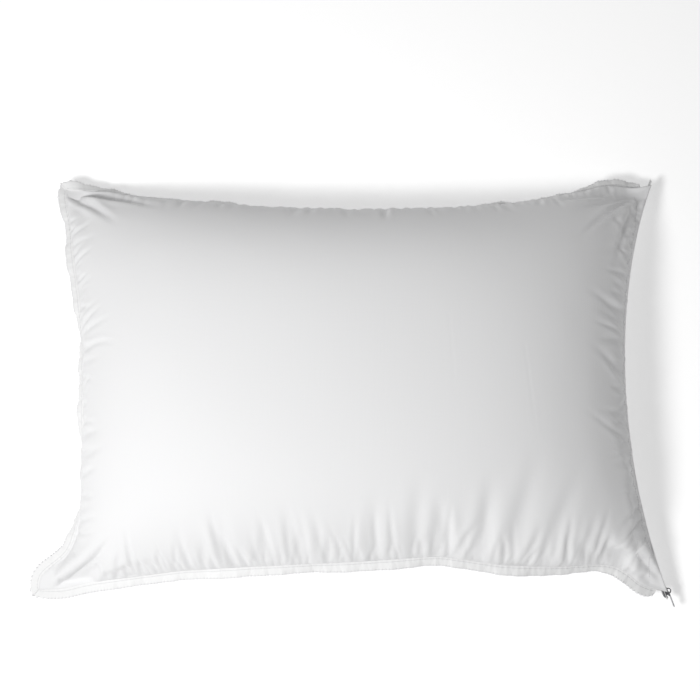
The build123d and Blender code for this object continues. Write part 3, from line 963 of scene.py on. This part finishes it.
# ---------------------------------------------------------------- put together


def place_piece(piece, material, slot, *nodes):
    """Gives a piece its material, and has it ride on the pillow in place of its nodes. slot is not used."""
    piece.data.materials.clear()
    piece.data.materials.append(material)
    if nodes:
        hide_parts(*nodes)
    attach(piece, "pillow")


def dress(node_name, material):
    """Gives a CAD node that stays in view its finished material."""
    thing = frame["nodes"][node_name]
    thing.data.materials.clear()
    thing.data.materials.append(material)


percale = woven("cotton_percale", (0.87, 0.87, 0.875))
hem_cloth = woven("hem_cotton", (0.90, 0.90, 0.90), bump=0.5)
# The thread is white; its mid grey colour is painted shade, which stands in for the dark dotted lines that
# the stitches show.
thread_grey_painted_shade = thread_material("thread_grey_painted_shade", (0.60, 0.60, 0.61))
tape_cloth = woven("zip_tape_cloth", (0.84, 0.84, 0.84), 600.0, 0.2, 0.8, 0.1, (0.55, 0.75))
coil_nylon = nylon("zip_nylon", (0.82, 0.82, 0.83))
white_stop = nylon("stop_enamel", (0.80, 0.80, 0.80))
slider_metal = satin_metal("slider_zinc", (0.20, 0.20, 0.21), (0.30, 0.52))
pull_metal = satin_metal("pull_zinc", (0.66, 0.66, 0.68), (0.25, 0.45))
bag_cloth = woven("bag_cloth", (0.82, 0.82, 0.81), 500.0, 0.3, 0.3, 0.1)
fibre = fibre_fill("fill_fibre", (0.86, 0.86, 0.85))


def make_cover():
    bottom = cover_bottom_points()
    top = cover_top_points((bag_points(True)[0], bottom))
    for name, points, upper in (("top", top, True), ("bottom", bottom, False)):
        inner = points - normals_of(points) * CLOTH * (1 if upper else -1)
        piece = layer_object(f"cover_{name}", points, inner, upper)
        place_piece(piece, percale, "cover_cotton", f"cover_{name}_panel")
        place_piece(zip_stitches(f"zip_stitches_{name}", points, upper), thread_grey_painted_shade, "hem_thread")
    for side in ("near", "far", "left"):
        place_piece(hem_band(side), hem_cloth, "hem_cotton", f"hem_band_{side}")
        place_piece(edge_thread(side), thread_grey_painted_shade, "hem_thread", f"hem_edge_thread_{side}")
        place_piece(hem_stitches(side), thread_grey_painted_shade, "hem_thread")


def make_zip():
    for name, sign in (("upper", 1), ("lower", -1)):
        place_piece(zip_coil(f"coil_{name}", sign), coil_nylon, "zip_coil", f"zip_coil_{name}")
        dress(f"zip_tape_{name}", tape_cloth)
        dress(f"zip_top_stop_{name}", white_stop)
    dress("zip_bottom_stop", white_stop)
    for name in ("slider_body", "slider_bail"):
        dress(name, slider_metal)
    dress("pull_tab", pull_metal)


def make_inside():
    for name, upper in (("top", True), ("bottom", False)):
        piece = layer_object(f"bag_{name}", *bag_points(upper), upper)
        place_piece(piece, bag_cloth, "bag_cloth", f"bag_{name}_panel")
    for side in SIDES:
        points, outward, _, _ = side_line(side, 0.004, -0.95, 0.95, BAG_INSET)
        reach, height = band_profile(-0.0012, 0.004, 0.0004)
        rings = points[:, None] + outward[:, None] * reach[None, :, None] + UP * height[None, :, None]
        if side in ("near", "right"):
            rings = rings[:, ::-1]
        place_piece(loft_object(f"bag_edge_{side}", [rings]), bag_cloth, "bag_cloth", f"bag_seam_{side}")
    piece = layer_object("fibre_fill", *fill_points(), True)
    place_piece(piece, fibre, "fill_fibre", "fill_core")


make_cover()
make_zip()
make_inside()

# ---------------------------------------------------------------- floor, lights, camera

FLOOR_HALF = 6.0
FLOOR_GLOW = 0.32  # a little light of the floor's own, as on a white sweep
KEY_PLACE = (-0.60, -0.44, 1.25)
KEY_TARGET = (0, 0, 0.05)
KEY_SIZE = (0.32, 0.32)
KEY_POWER = 12.9
WORLD_STRENGTH = 0.345
CAMERA_LENS = 69.4
CAMERA_SENSOR = 36.0
CAMERA_ELEVATION = math.radians(80)
CAMERA_DISTANCE = 1.46
CAMERA_TARGET = Vector((-0.005, 0.034, 0.045))


def area_light(name, place, target, size, power):
    data = bpy.data.lights.new(name, "AREA")
    data.shape = "RECTANGLE"
    data.size, data.size_y = size
    data.energy = power
    lamp = bpy.data.objects.new(name, data)
    lamp.location = place
    lamp.rotation_euler = (Vector(target) - Vector(place)).to_track_quat("-Z", "Y").to_euler()
    bpy.context.scene.collection.objects.link(lamp)


def make_floor():
    corners = [(x * FLOOR_HALF, y * FLOOR_HALF, 0) for x, y in ((-1, -1), (1, -1), (1, 1), (-1, 1))]
    floor = mesh_object("floor", corners, [(0, 1, 2, 3)])
    material, _, shader = new_material("floor")
    shader.inputs["Base Color"].default_value = (0.95, 0.95, 0.95, 1)
    shader.inputs["Roughness"].default_value = 0.9
    shader.inputs["Emission Color"].default_value = (1, 1, 1, 1)
    shader.inputs["Emission Strength"].default_value = FLOOR_GLOW
    floor.data.materials.append(material)


def make_camera():
    data = bpy.data.cameras.new("camera")
    data.lens = CAMERA_LENS
    data.sensor_width = CAMERA_SENSOR
    camera = bpy.data.objects.new("camera", data)
    away = Vector((0, -math.cos(CAMERA_ELEVATION), math.sin(CAMERA_ELEVATION)))
    camera.location = CAMERA_TARGET + CAMERA_DISTANCE * away
    camera.rotation_euler = (CAMERA_TARGET - camera.location).to_track_quat("-Z", "Y").to_euler()
    bpy.context.scene.collection.objects.link(camera)
    bpy.context.scene.camera = camera


def make_world(strength):
    world = bpy.data.worlds.new("world")
    world.use_nodes = True
    world.node_tree.nodes["Background"].inputs["Color"].default_value = (1, 1, 1, 1)
    world.node_tree.nodes["Background"].inputs["Strength"].default_value = strength
    bpy.context.scene.world = world


make_floor()
make_camera()
area_light("key", KEY_PLACE, KEY_TARGET, KEY_SIZE, KEY_POWER)
make_world(WORLD_STRENGTH)
bpy.context.scene.view_settings.view_transform = "Standard"
